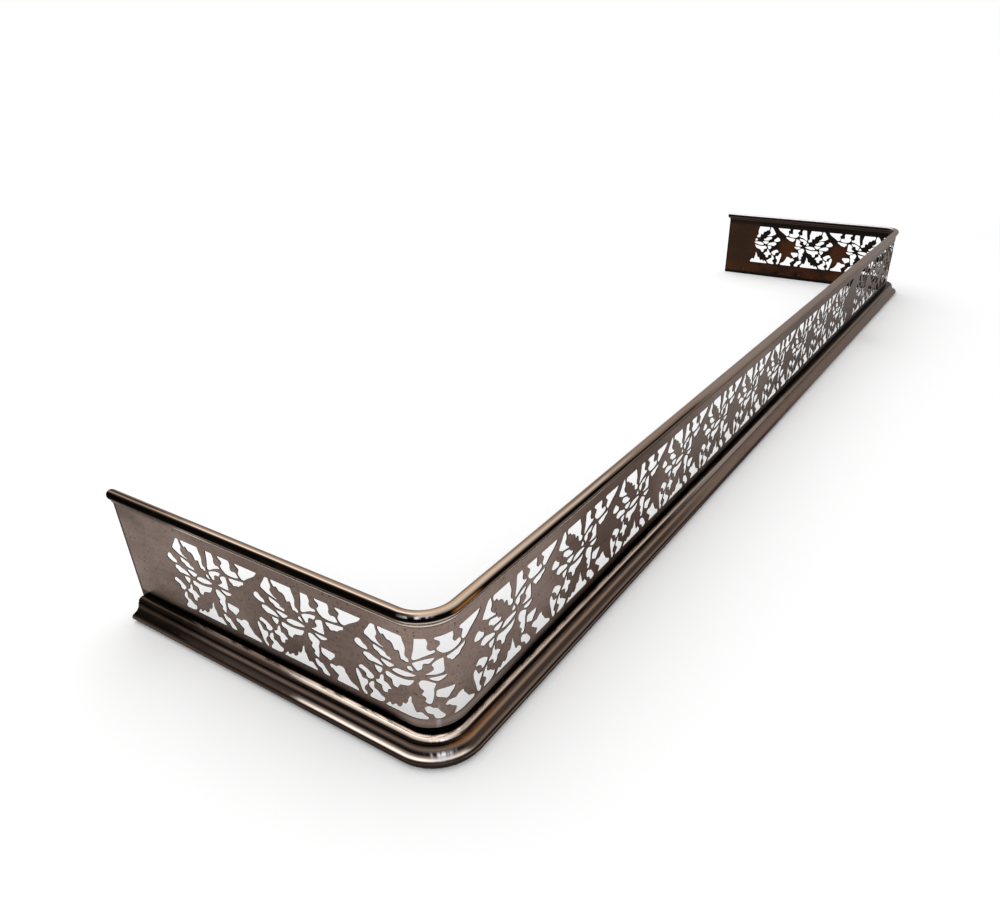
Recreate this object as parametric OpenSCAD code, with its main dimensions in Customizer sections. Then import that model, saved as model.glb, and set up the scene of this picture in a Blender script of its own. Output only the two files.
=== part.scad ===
// Low fire fender: a pierced steel fret bent round three sides of a hearth,
// with a wire-cored bead along its top and a hollow moulded plinth along its foot.
// The back is open. Everything is in millimetres; the fender stands on z = 0.

/* [Fender] */
// Length of the fret wall along the front, over its outer faces
wall_l = 1340; // [900:10:1800]
// Depth of the fret wall, from its front face to its rear ends
wall_d = 316; // [220:2:450]
// Outer radius of the fret at the two front corners
corner_r = 26.8; // [22:0.2:45]

/* [Fret sheets] */
// Thickness of the fret sheet
sheet_t = 0.7; // [0.5:0.1:2]
// Height of the lower edge of the pierced band
band_z = 25.2; // [22:0.2:34]
// Height of the pierced band itself
band_h = 67.5; // [56:0.5:70]
// Length of one repeat of the fret pattern
pitch = 97; // [80:1:120]
// Distance of the first repeat from the left rear end
left_margin = 64; // [30:1:100]
// Distance of the last full repeat's end from the right rear end
right_margin = 98; // [60:0.5:150]
// Extra space in front of the broken repeat that ends the pattern on the right
last_gap = 3; // [0:0.5:8]
// How much of that repeat is cut: the openings whose middle lies within this
last_l = 42; // [20:1:80]
// Distance of the butt seam between the two sheets from the right-hand face
seam_from_right = 305; // [180:1:420]
// Plain land that the pattern leaves on either side of the seam
seam_land = 11; // [9:1:30]
// Gap left in the butt seam
seam_gap = 0.3; // [0.1:0.1:1]

/* [Top rail] */
// Radius of the rolled bead
rail_r = 4.5; // [3.5:0.1:6]
// Height of the top of the bead above the floor
rail_top = 112.4; // [108:0.2:125]
// How far the middle of the bead lies behind the fret's outer face
rail_in = 1.5; // [0.5:0.1:2.5]
// Thickness of the rail's rolled sheet
rail_t = 0.8; // [0.5:0.1:1.2]
// How far the skirt that laps the fret outside hangs below the bead
skirt_h = 1.2; // [0.8:0.1:4]
// How far the lip that laps the fret inside hangs below the bead
lip_h = 1.9; // [1:0.1:4]
// Length of the plug that each end cap pushes into the bead
plug_l = 6; // [3:0.5:15]

/* [Plinth] */
// Height of the plinth above the floor
plinth_h = 18; // [17:0.2:21]
// Projection of the plinth's nose from the fret
plinth_out = 18.3; // [16:0.1:24]
// Projection of the upper bead from the fret
bead_out = 9.4; // [8.6:0.1:10.5]
// Radius of the upper bead
bead_r = 4.2; // [3.4:0.1:4.6]
// Radius of the hollow between the bead and the nose
cove_r = 7.4; // [6:0.1:8.5]
// Radius of the nose
nose_r = 2.6; // [2:0.1:3.2]
// Radius of the plinth's back at the corners, tighter than the fret's
plinth_corner_r = 20; // [15:1:22]
// How far the plinth stops short of the fret's rear ends
plinth_short = 8; // [2:0.5:20]
// Thickness of the plinth's sheet
plinth_t = 1; // [0.6:0.1:1.4]
// Width of the seam left open under the plinth where its edges are turned in
foot_slot = 3; // [1:0.5:5]

/* [Base strip] */
// Thickness of the flat iron strip under the plinth
base_t = 1.6; // [1:0.1:3]
// How far the strip's edge stays behind the nose
base_back = 2.3; // [0.4:0.1:3]

/* [Rivets] */
// Diameter of the rivets
rivet_d = 2.6; // [2:0.1:3.2]
// Height of the row that holds the plinth to the fret
rivet_z = 9; // [7:0.1:10]
// Number of rivets in that row along the front
front_rivets = 7; // [3:1:15]
// Number of rivets in that row along each side
side_rivets = 3; // [2:1:5]
// Distance of the last rivet from the plinth's rear end
rivet_end = 31; // [20:1:80]

/* [Seam strap] */
// Width of the strap behind the seam
strap_w = 20; // [16:0.5:22]
// Thickness of the strap
strap_t = 1.5; // [1:0.1:3]
// Rivets in each of the strap's two rows
strap_rivets = 3; // [2:1:5]

/* [Hidden] */
$fn = 64;

// Clearance between pieces that are pressed or clinched together
seat = 0.1;
rivet_hole_d = rivet_d + 0.2;
head_r = rivet_d * 0.95;
head_h = 1.2;
tail_r = rivet_d * 0.75;
tail_h = 0.7;

rail_z = rail_top - rail_r;
bore_r = rail_r - rail_t;
core_r = bore_r - 2 * seat;
sheet_h = rail_z - rail_r - 2 * seat;

// Middle of the plinth's upper bead, of its cove and of its nose, with the
// narrow step between the bead and the cove
step_w = 0.6;
bead_x = bead_out - bead_r;
bead_z = plinth_h - bead_r;
nose_x = plinth_out - nose_r;
nose_z = base_t + nose_r;
cove_x = bead_out + step_w + cove_r;
cove_z = nose_z + nose_r + cove_r;

base_out = plinth_out - base_back;
plinth_d = wall_d - plinth_short;
foot_x = (bead_x + nose_x) / 2;

// Lengths along the outer face: one side, one corner, the front
side_l = wall_d - corner_r;
bend_l = corner_r * PI / 2;
front_l = wall_l - 2 * corner_r;
path_l = 2 * (side_l + bend_l) + front_l;
seam_x = wall_l - seam_from_right;
seam_s = side_l + bend_l + seam_x - corner_r;

// Repeats that fit between each rear end and the seam
left_repeats = floor((seam_s - seam_land - left_margin) / pitch);
right_repeats = floor((path_l - seam_s - seam_land - right_margin) / pitch);

// The origin is under the middle of the whole fender
mid_x = wall_l / 2;
mid_y = (wall_d + rail_r - plinth_out) / 2;

// The pierced openings of one repeat, each a saw cut round one gap in the foliage:
// along the wall from the repeat's left edge, in hundredths of the pitch, and up
// from the band's foot, in hundredths of its height
openings = [
  // Under the top border, from left to right
  [[0.5, 83.5], [2, 87.5], [4.5, 92], [6.5, 96.5], [9, 100], [12, 100], [12, 96.5], [13, 92],
    [12.5, 88], [11, 86], [11.5, 83], [13, 80], [15, 77.5], [17.5, 77], [16.5, 74.5], [13, 75.5],
    [10, 76.5], [6.5, 77.5], [4, 80], [1, 82]],
  [[14.5, 100], [34.5, 100], [35, 95], [36, 90.5], [36.5, 86.5], [36, 83.5], [35.5, 80], [35.5, 77],
    [38, 74.5], [38, 71.5], [37, 69.5], [34.5, 69.5], [33.5, 71], [31.5, 70], [31, 74.5], [30.5, 80],
    [29, 80], [27.5, 78.5], [26.5, 79], [25.5, 85], [23.5, 87.5], [20.5, 87.5], [18.5, 92],
    [17.5, 92.5], [16, 90.5], [14.5, 94], [13.5, 97]],
  [[43.5, 100], [51, 100], [51.5, 96.5], [52, 93.5], [51, 90.5], [51, 88], [52, 86], [53.5, 85],
    [55.5, 86], [56.5, 83.5], [55.5, 81.5], [52.5, 80.5], [49.5, 79], [46.5, 77], [43.5, 74.5],
    [40.5, 73], [40, 75.5], [41, 80.5], [42, 86], [42.5, 91], [43, 96.5]],
  [[56.5, 100], [70, 100], [70.5, 96.5], [70.5, 93.5], [69.5, 91], [70, 88], [71, 86.5], [73, 87.5],
    [75.5, 87.5], [76.5, 84.5], [77.5, 82], [75.5, 80], [72, 78.5], [68, 78], [64.5, 78], [61.5, 79],
    [59, 82], [57.5, 85], [57.5, 87.5], [59, 89], [60, 91], [60, 93.5], [59, 95], [57, 96.5]],
  [[76, 100], [100, 100], [99, 98], [96.5, 94], [93.5, 91], [90, 88], [86.5, 85], [84, 82], [82, 80.5],
    [79.5, 81], [78, 83.5], [77, 86.5], [78, 89.5], [79, 92], [79, 94], [77.5, 95.5], [76, 97]],
  // Round the upper scroll
  [[63.5, 74.5], [68, 76], [72, 76.5], [77.5, 77.5], [82, 78.5], [81.5, 76], [80, 73], [78, 72.5],
    [76.5, 71], [74.5, 68.5], [73.5, 68], [71, 68], [69.5, 66.5], [67.5, 66.5], [66.5, 69.5], [65, 70]],
  [[40, 69], [41, 71], [43.5, 73], [46.5, 74.5], [49.5, 76], [52.5, 76.5], [55.5, 77], [55, 74.5],
    [53, 71.5], [51.5, 69.5], [49.5, 70], [48, 70], [47, 68.5], [47, 66.5], [46.5, 63.5], [45, 62],
    [43, 61], [42, 64], [40.5, 66.5]],
  [[35.5, 62.5], [36.5, 65], [38, 66.5], [39.5, 66], [40, 63.5], [41, 61], [40, 59.5], [38, 60],
    [36.5, 61]],
  [[61, 74.5], [59.5, 74.5], [56.5, 73], [54.5, 71], [53, 68.5], [53.5, 66.5], [54.5, 64], [54, 62],
    [52.5, 60.5], [50.5, 59], [48.5, 58], [48.5, 56.5], [51.5, 56], [55.5, 55.5], [60.5, 56],
    [61.5, 58], [61.5, 66.5], [61.5, 72.5]],
  [[50.5, 51.5], [51.5, 53.5], [54.5, 53.5], [60, 53.5], [63.5, 53.5], [63, 51.5], [61, 49.5], [59, 48],
    [56.5, 47], [54.5, 48], [52.5, 49.5]],
  // Round the plain tablet
  [[43, 45.5], [44, 48.5], [45.5, 50.5], [47.5, 50.5], [49.5, 50], [51.5, 48], [54.5, 46], [55, 44],
    [54, 40.5], [53, 37.5], [53, 33], [52.5, 28.5], [51.5, 23], [50.5, 20], [49, 19.5], [47, 21.5],
    [46, 24], [47.5, 26], [47, 28.5], [45, 30.5], [44.5, 32], [45.5, 34.5], [46.5, 36.5], [45.5, 38],
    [44, 39.5], [43.5, 42.5]],
  [[54.5, 33], [54.5, 36], [56, 37.5], [61, 37.5], [68, 36.5], [68.5, 34.5], [67.5, 31.5], [64.5, 27.5],
    [63, 24.5], [62, 23.5], [60.5, 24], [59, 25.5], [55, 27.5], [54, 30.5]],
  [[60.5, 16.5], [61.5, 19.5], [63.5, 21], [68, 20], [70.5, 23], [73, 24], [76, 23], [76.5, 18],
    [78.5, 14], [80.5, 9], [82.5, 7.5], [86, 5], [87.5, 3], [87, -0.5], [65.5, -0.5], [67, 4.5],
    [68.5, 8], [67, 9.5], [65, 11], [63.5, 14], [61.5, 14]],
  [[45.5, 15], [46.5, 17], [49, 18], [51.5, 15], [54, 15], [55.5, 11], [58, 6.5], [59.5, 3.5],
    [59, 0.5], [56.5, -0.5], [52.5, 0], [51.5, 3], [51, 6], [49.5, 6.5], [47, 8], [46, 11]],
  // Along the bottom border, from left to right
  [[11.5, -0.5], [13, 2], [15.5, 6], [17.5, 7.5], [17.5, 4.5], [19, 4.5], [21, 7.5], [23, 9],
    [23.5, 6.5], [25.5, 6.5], [27.5, 9.5], [28, 13.5], [29.5, 15.5], [30.5, 14], [32, 15.5], [33, 18],
    [34, 23], [36, 27.5], [37, 27.5], [36.5, 20], [37.5, 18], [38, 15], [38.5, 11], [39.5, 8],
    [41, 9.5], [43.5, 9.5], [44.5, 6.5], [47, 3], [46.5, -0.5]],
  [[-2.5, 15.5], [-1.5, 18], [0, 21], [2, 24], [4, 24.5], [3.5, 19.5], [3, 17], [4, 15], [6, 15],
    [8, 12], [10, 9.5], [12, 9.5], [12.5, 7.5], [11, 3.5], [8, 0.5], [5, -0.5], [-3, -0.5], [-2, 3.5],
    [0, 6.5], [1, 9], [0.5, 11], [-1.5, 12.5]],
  // Round the great leaf
  [[5, 27], [6, 29], [9.5, 31.5], [9.5, 34.5], [11, 37.5], [13, 40.5], [14, 39], [13.5, 32],
    [16.5, 31.5], [19, 27.5], [20.5, 26], [18.5, 24], [16, 22.5], [16, 19.5], [15, 17], [13.5, 16.5],
    [11.5, 16], [10.5, 18.5], [10.5, 24], [8, 24.5], [6, 24.5]],
  [[15.5, 44], [16.5, 46.5], [18.5, 48], [22.5, 47], [27, 46.5], [34, 47.5], [40.5, 49.5], [39.5, 46.5],
    [37.5, 42.5], [35, 39.5], [31, 38], [27.5, 36.5], [26.5, 33.5], [25.5, 30.5], [22.5, 30.5],
    [21, 32], [21, 38], [19.5, 39.5], [16.5, 40], [15.5, 42]],
  [[22, 50.5], [23, 53.5], [25.5, 56], [28, 57.5], [33, 58], [36, 58], [39, 57.5], [42.5, 55.5],
    [40.5, 53.5], [37.5, 52], [34, 50.5], [30, 49.5], [26, 49.5]],
  // Round the small leaves between two repeats
  [[7, 72.5], [9, 75], [13.5, 73.5], [18.5, 71], [19, 68], [23, 67], [23, 64], [21, 62.5], [16.5, 63],
    [13, 63.5], [11, 67], [8, 68]],
  [[12.5, 59], [14.5, 61], [19.5, 61], [25.5, 59.5], [23.5, 56.5], [21.5, 54.5], [19.5, 53], [18, 53],
    [16, 55], [14, 56.5]],
  [[-3, 56.5], [-1.5, 59.5], [1, 60.5], [4, 60.5], [6.5, 59], [11.5, 57], [14, 54], [15, 52],
    [13.5, 50.5], [5, 50.5], [1.5, 50], [0, 51.5], [-1.5, 53.5], [-3, 54.5]],
  [[-10, 67], [-9, 70], [-7, 73], [-5.5, 74], [-3.5, 74], [-1, 69.5], [1.5, 68], [2.5, 65], [1.5, 62.5],
    [-1.5, 62], [-4, 62], [-8, 64]],
  [[6, 46.5], [7, 48.5], [13.5, 49], [14, 47], [12, 42], [10.5, 39.5], [9, 39.5], [7, 42.5]],
  [[-9.5, 36], [-7.5, 39], [-5.5, 40.5], [-3.5, 39.5], [0, 37.5], [5, 32], [4, 29], [1.5, 26],
    [-0.5, 24.5], [-3, 25], [-3.5, 27], [-3, 29], [-4.5, 31.5], [-7, 33], [-9.5, 33.5]],
  [[87, 29], [88.5, 32], [90, 32], [92, 27], [93, 22.5], [97.5, 23], [98, 20], [96.5, 15.5], [94, 12],
    [93.5, 7.5], [95.5, 5], [95.5, 2], [94, 0], [92.5, 0], [90.5, 3], [89.5, 7.5], [89, 12.5], [88, 18],
    [87, 24]],
];

// Place on the outer face at a distance s from the left rear end: x, y and
// the heading of the wall there, seen from outside with left on the left
function spot(s) =
  s < side_l ? [0, wall_d - s, -90] :
  s < side_l + bend_l ? bend_spot((s - side_l) / bend_l * 90) :
  s < side_l + bend_l + front_l ? [corner_r + s - side_l - bend_l, 0, 0] :
  s < side_l + 2 * bend_l + front_l ? far_bend_spot((s - side_l - bend_l - front_l) / bend_l * 90) :
  [wall_l, corner_r + s - side_l - 2 * bend_l - front_l, 90];

function bend_spot(a) = [corner_r * (1 - cos(a)), corner_r * (1 - sin(a)), a - 90];
function far_bend_spot(a) = [wall_l - corner_r * (1 - sin(a)), corner_r * (1 - cos(a)), a];

// Middle of an outline along the wall, in hundredths of the pitch
function middle(outline) = (min([for (p = outline) p[0]]) + max([for (p = outline) p[0]])) / 2;

// Rivet places along the wall, as distances from the left rear end
side_step = (side_l - plinth_short - rivet_end - corner_r) / (side_rivets - 1);
front_step = (front_l - 2 * corner_r) / (front_rivets - 1);
side_spots = [for (i = [0 : side_rivets - 1]) plinth_short + rivet_end + i * side_step];
front_spots = [for (i = [0 : front_rivets - 1]) side_l + bend_l + corner_r + i * front_step];
rivet_spots = concat(side_spots, front_spots, [for (s = side_spots) path_l - s]);

// Rivet places in the strap, either side of the seam and clear of its ends
strap_edge = 6;
strap_bottom = plinth_h + 1;
strap_top = rail_z - rail_r - lip_h - 0.5;
strap_row = strap_w / 4;
strap_step = (strap_top - strap_bottom - 2 * strap_edge) / (strap_rivets - 1);
strap_spots = [for (side = [-1, 1]) for (i = [0 : strap_rivets - 1])
  [seam_s + side * strap_row, strap_bottom + strap_edge + i * strap_step]];

// Puts its children at a distance s along the wall, with x along the wall
// and -y pointing out of its face
module at_wall(s) {
  p = spot(s);
  translate([p[0] - mid_x, p[1] - mid_y, 0]) rotate([0, 0, p[2]]) children();
}

// Area inside the wall's outer face moved out by off, open towards the rear
module plan(off, r, depth) {
  translate([-mid_x, -mid_y]) {
    translate([-off, r]) square([wall_l + 2 * off, depth - r]);
    translate([r, -off]) square([wall_l - 2 * r, r + off]);
    for (x = [r, wall_l - r]) translate([x, r]) circle(r + off);
  }
}

// Carries a section round the three sides: its x points out of the wall
// from the outer face, and its y points up. Each half runs from the middle
// of the front round its corner to the rear
module round_wall(r, depth) {
  for (side = [0, 1]) mirror([side, 0, 0]) translate([-mid_x, -mid_y, 0]) {
    translate([r, 0, 0]) rotate([90, 0, 90]) linear_extrude(mid_x - r) mirror([1, 0]) children();
    translate([r, r, 0]) rotate([0, 0, 180]) rotate_extrude(angle = 90) translate([r, 0]) children();
    translate([0, r, 0]) rotate([-90, 0, 0]) linear_extrude(depth - r) rotate(180) children();
  }
}

// Cutter for one opening of the repeat that starts at s, deep enough to come
// through the sheet where that curves away round a corner
module opening(outline, s) {
  m = middle(outline);
  at_wall(s + m * pitch / 100) translate([0, corner_r / 2, band_z]) rotate([90, 0, 0])
    linear_extrude(corner_r / 2 + 2)
      polygon([for (p = outline) [(p[0] - m) * pitch, p[1] * band_h] / 100]);
}

// Plain hole through the fret at a distance s along the wall and a height z
module wall_hole(s, z) {
  at_wall(s) translate([0, sheet_t + 2, z]) rotate([90, 0, 0])
    cylinder(d = rivet_hole_d, h = sheet_t + 4);
}

// The bent sheet before piercing, from x_from to x_to along the front
module sheet_blank(x_from, x_to) {
  linear_extrude(sheet_h) intersection() {
    difference() {
      plan(0, corner_r, wall_d);
      plan(-sheet_t, corner_r, wall_d + 1);
    }
    translate([x_from - mid_x, -mid_y - 1]) square([x_to - x_from, wall_d + 2]);
  }
}

module left_fret_sheet() {
  color("#76675f") difference() {
    sheet_blank(-1, seam_x - seam_gap / 2);
    for (i = [0 : left_repeats - 1]) for (o = openings) opening(o, left_margin + i * pitch);
    for (s = rivet_spots) if (s < seam_s) wall_hole(s, rivet_z);
    for (p = strap_spots) if (p[0] < seam_s) wall_hole(p[0], p[1]);
  }
}

module right_fret_sheet() {
  last = path_l - right_margin;
  color("#76675f") difference() {
    sheet_blank(seam_x + seam_gap / 2, wall_l + 1);
    for (i = [1 : right_repeats]) for (o = openings) opening(o, last - i * pitch);
    for (o = openings) if (middle(o) * pitch / 100 < last_l) opening(o, last + last_gap);
    for (s = rivet_spots) if (s > seam_s) wall_hole(s, rivet_z);
    for (p = strap_spots) if (p[0] > seam_s) wall_hole(p[0], p[1]);
  }
}

// Flat strap across the back of the seam
module seam_strap() {
  color("#4a3d35") difference() {
    at_wall(seam_s) translate([-strap_w / 2, sheet_t + seat, strap_bottom])
      cube([strap_w, strap_t, strap_top - strap_bottom]);
    for (p = strap_spots) at_wall(p[0]) translate([0, sheet_t + strap_t + 2, p[1]])
      rotate([90, 0, 0]) cylinder(d = rivet_hole_d, h = strap_t + 4);
  }
}

// Low round head whose flat face is at z = 0
module rivet_head() {
  ball_r = (head_r * head_r + head_h * head_h) / (2 * head_h);
  intersection() {
    translate([0, 0, head_h - ball_r]) sphere(ball_r);
    cylinder(r = head_r, h = head_h);
  }
}

// Rivets through the strap, filed flush with the fret outside
module seam_rivets() {
  color("#5d4f46") for (p = strap_spots) at_wall(p[0])
    translate([0, sheet_t + seat + strap_t, p[1]]) rotate([-90, 0, 0]) {
      rivet_head();
      translate([0, 0, -sheet_t - seat - strap_t]) cylinder(d = rivet_d, h = sheet_t + seat + strap_t);
    }
}

// Section of the rail: the rolled bead with its skirt outside and lip inside
module rail_section() {
  difference() {
    union() {
      translate([-rail_in, rail_z]) circle(rail_r);
      translate([seat, rail_z - rail_r - skirt_h]) square([rail_t, skirt_h + rail_r * 0.3]);
      translate([-sheet_t - seat - rail_t, rail_z - rail_r - lip_h])
        square([rail_t, lip_h + rail_r * 0.3]);
    }
    translate([-rail_in, rail_z]) circle(bore_r);
  }
}

module top_rail() {
  color("#8d7a6d") round_wall(corner_r, wall_d) rail_section();
}

// Iron wire that the bead is rolled round
module rail_core() {
  color("#4d4038") round_wall(corner_r, wall_d - plug_l - 1)
    translate([-rail_in, rail_z]) circle(core_r);
}

// Round end of the rail, with a plug that sits in the bead
module rail_cap() {
  intersection() {
    sphere(rail_r);
    translate([-rail_r, 0, -rail_r]) cube([2 * rail_r, rail_r, 2 * rail_r]);
  }
  translate([0, 0.5, 0]) rotate([90, 0, 0]) cylinder(r = core_r, h = plug_l + 0.5);
}

module left_rail_cap() {
  color("#9a8778") translate([rail_in - mid_x, wall_d - mid_y, rail_z]) rail_cap();
}

module right_rail_cap() {
  color("#9a8778") translate([wall_l - rail_in - mid_x, wall_d - mid_y, rail_z]) rail_cap();
}

// Outline of the plinth, moved inwards by inset for its hollow
module plinth_outline(inset) {
  back = inset + seat;
  translate([back, base_t + inset]) square([bead_x - back, plinth_h - base_t - 2 * inset]);
  translate([bead_x, bead_z]) circle(bead_r - inset);
  difference() {
    translate([back, base_t + inset]) square([nose_x - back, cove_z - base_t - 2 * inset]);
    translate([cove_x, cove_z]) circle(cove_r + inset);
  }
  translate([nose_x, nose_z]) circle(nose_r - inset);
}

module plinth_moulding() {
  color("#85766b") difference() {
    union() {
      round_wall(plinth_corner_r, plinth_d - plinth_t) difference() {
        plinth_outline(0);
        plinth_outline(plinth_t);
        translate([bead_x - foot_slot / 2, base_t - 1]) square([foot_slot, plinth_t + 2]);
      }
      // The top of the plinth reaches in to the fret round the two corners
      translate([0, 0, plinth_h - plinth_t]) linear_extrude(plinth_t) difference() {
        plan(seat + plinth_t / 2, plinth_corner_r, corner_r + plinth_t);
        plan(seat, corner_r, wall_d);
      }
    }
    for (s = rivet_spots) at_wall(s) translate([0, 0, rivet_z]) rotate([90, 0, 0])
      cylinder(d = rivet_hole_d, h = plinth_t + 1);
    for (s = rivet_spots) at_wall(s) translate([0, -foot_x, 0])
      cylinder(d = rivet_hole_d, h = base_t + plinth_t + 1);
  }
}

// Plate that closes one end of the hollow plinth
module plinth_end() {
  rotate([90, 0, 0]) linear_extrude(plinth_t) plinth_outline(0);
}

module left_plinth_end() {
  color("#6a5c53") translate([-mid_x, plinth_d - mid_y, 0]) mirror([1, 0, 0]) plinth_end();
}

module right_plinth_end() {
  color("#6a5c53") translate([wall_l - mid_x, plinth_d - mid_y, 0]) plinth_end();
}

// Rivets from inside through the fret into the plinth's back
module plinth_rivets() {
  color("#8a7566") for (s = rivet_spots) at_wall(s) translate([0, sheet_t, rivet_z])
    rotate([-90, 0, 0]) {
      rivet_head();
      translate([0, 0, -sheet_t - seat - plinth_t])
        cylinder(d = rivet_d, h = sheet_t + seat + plinth_t);
      translate([0, 0, -sheet_t - seat - plinth_t - tail_h]) cylinder(r = tail_r, h = tail_h);
    }
}

// Flat iron strip that the plinth stands on, let in flush for the rivets
module base_strip() {
  color("#5b4e46") difference() {
    linear_extrude(base_t) difference() {
      plan(base_out, plinth_corner_r, plinth_d);
      plan(seat, corner_r, plinth_d + 1);
    }
    for (s = rivet_spots) at_wall(s) translate([0, -foot_x, 0]) {
      translate([0, 0, -1]) cylinder(d = rivet_hole_d, h = base_t + 2);
      translate([0, 0, -1]) cylinder(r = head_r + seat, h = 1 + base_t / 2);
    }
  }
}

// Flush rivets from below through the strip into the plinth's foot
module base_rivets() {
  color("#6a5c53") for (s = rivet_spots) at_wall(s) translate([0, -foot_x, 0]) {
    translate([0, 0, seat]) cylinder(r = head_r, h = base_t / 2 - seat);
    translate([0, 0, seat]) cylinder(d = rivet_d, h = base_t + plinth_t);
    translate([0, 0, base_t + plinth_t]) cylinder(r = tail_r, h = tail_h);
  }
}

left_fret_sheet();
right_fret_sheet();
seam_strap();
seam_rivets();
top_rail();
rail_core();
left_rail_cap();
right_rail_cap();
plinth_moulding();
left_plinth_end();
right_plinth_end();
plinth_rivets();
base_strip();
base_rivets();
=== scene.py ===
import math
import bmesh
import bpy
from mathutils import Matrix, Vector
from mathutils.geometry import delaunay_2d_cdt


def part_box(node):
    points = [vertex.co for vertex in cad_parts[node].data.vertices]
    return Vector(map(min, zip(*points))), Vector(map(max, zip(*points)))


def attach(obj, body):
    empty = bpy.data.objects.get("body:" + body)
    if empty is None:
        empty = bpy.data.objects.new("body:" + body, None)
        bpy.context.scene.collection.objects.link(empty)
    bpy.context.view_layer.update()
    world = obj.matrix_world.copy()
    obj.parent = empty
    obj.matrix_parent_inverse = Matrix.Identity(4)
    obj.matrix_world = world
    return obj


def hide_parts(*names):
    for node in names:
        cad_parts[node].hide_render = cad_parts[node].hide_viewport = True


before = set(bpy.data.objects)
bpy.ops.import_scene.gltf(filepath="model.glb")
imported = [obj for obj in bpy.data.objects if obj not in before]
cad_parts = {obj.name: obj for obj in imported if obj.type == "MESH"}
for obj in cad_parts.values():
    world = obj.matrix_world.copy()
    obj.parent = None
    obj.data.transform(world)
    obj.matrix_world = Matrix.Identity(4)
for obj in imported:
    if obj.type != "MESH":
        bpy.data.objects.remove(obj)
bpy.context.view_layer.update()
mm = 0.001

# The wall that every piece follows, in metres: its size comes from the fret's own boxes
leftLow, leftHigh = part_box("left_fret_sheet")
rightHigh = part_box("right_fret_sheet")[1]
wall = dict(half=rightHigh[0], front=leftLow[1], rear=leftHigh[1], bend=26.8 * mm, sheet=0.7 * mm)
sideLength = wall["rear"] - wall["front"] - wall["bend"]
bendLength = wall["bend"] * math.pi / 2
frontLength = 2 * (wall["half"] - wall["bend"])
wallLength = 2 * (sideLength + bendLength) + frontLength


# ---- camera
camera = dict(place=(-0.9452, -0.4027, 0.4002), yaw=56.843, pitch=31.274, roll=-0.981,
              lens=28.547, shiftX=-0.0305, shiftY=0.0726)


def addCamera():
    yaw, pitch, roll = (math.radians(camera[key]) for key in ("yaw", "pitch", "roll"))
    ahead = Vector((math.cos(pitch) * math.sin(yaw), math.cos(pitch) * math.cos(yaw), -math.sin(pitch)))
    right = ahead.cross(Vector((0, 0, 1))).normalized()
    down = ahead.cross(right).normalized()
    turnedRight = right * math.cos(roll) - down * math.sin(roll)
    turnedDown = right * math.sin(roll) + down * math.cos(roll)
    data = bpy.data.cameras.new("camera")
    data.sensor_width = 36
    data.lens = camera["lens"]
    data.shift_x, data.shift_y = camera["shiftX"], camera["shiftY"]
    data.clip_start, data.clip_end = 0.01, 50
    cameraObject = bpy.data.objects.new("camera", data)
    bpy.context.scene.collection.objects.link(cameraObject)
    turn = Matrix((turnedRight, -turnedDown, -ahead)).transposed()
    cameraObject.matrix_world = Matrix.Translation(camera["place"]) @ turn.to_4x4()
    bpy.context.scene.camera = cameraObject


addCamera()
print("camera placed")


# ---- shader helper
class Wire:
    def __init__(self, tree, socket=None):
        self.tree = tree
        self.socket = socket

    # A node of any kind: its settings go in first, then the values or wires of its sockets
    def node(self, kind, settings=None, inputs=None, out=0):
        made = self.tree.nodes.new(kind)
        for key, value in (settings or {}).items():
            if key == "stops":
                stops = made.color_ramp.elements
                while len(stops) > 1:
                    stops.remove(stops[-1])
                stops[0].position, stops[0].color = value[0]
                for place, color in value[1:]:
                    stops.new(place).color = color
            else:
                setattr(made, key, value)
        for key, value in (inputs or {}).items():
            if isinstance(value, Wire):
                self.tree.links.new(value.socket, made.inputs[key])
            else:
                made.inputs[key].default_value = value
        return Wire(self.tree, made.outputs[out])

    def math(self, operation, *values):
        return self.node("ShaderNodeMath", {"operation": operation}, dict(enumerate(values)))

    def __add__(self, other):
        return self.math("ADD", self, other)

    def __sub__(self, other):
        return self.math("SUBTRACT", self, other)

    def __rsub__(self, other):
        return self.math("SUBTRACT", other, self)

    def __mul__(self, other):
        return self.math("MULTIPLY", self, other)

    def __truediv__(self, other):
        return self.math("DIVIDE", self, other)

    __radd__ = __add__
    __rmul__ = __mul__

    # A soft step from 0 at low to 1 at high
    def rise(self, low, high):
        return self.node("ShaderNodeMapRange", {"interpolation_type": "SMOOTHSTEP"},
                         {"Value": self, "From Min": low, "From Max": high})

    def ramp(self, stops):
        return self.node("ShaderNodeValToRGB", {"stops": stops}, {"Fac": self})

    # This wire picks between two colours
    def mix(self, low, high, blend="MIX"):
        return self.node("ShaderNodeMix", {"data_type": "RGBA", "blend_type": blend},
                         {0: self, 6: low, 7: high}, out=2)


def tone(red, green, blue):
    def lift(value):
        value /= 255
        return value / 12.92 if value <= 0.04045 else ((value + 0.055) / 1.055) ** 2.4
    return lift(red), lift(green), lift(blue), 1


# The steel's tones as they look in the photo, 0 to 255
# Most of these stand in for light on the polished steel: painted reflections, highlights and shade; rust is
# the steel's own rust, and graze its tint at grazing angles
steel = dict(ink=(8, 6, 5), soot=(26, 20, 17), umber=(60, 49, 43), taupe=(112, 95, 85), grey=(142, 127, 118),
             tan=(140, 118, 100), cream=(196, 176, 160), bright=(242, 228, 214), honey=(144, 119, 94),
             glint=(214, 212, 218), amberReflection=(150, 96, 44), rust=(72, 52, 41), graze=(188, 188, 188))


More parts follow.
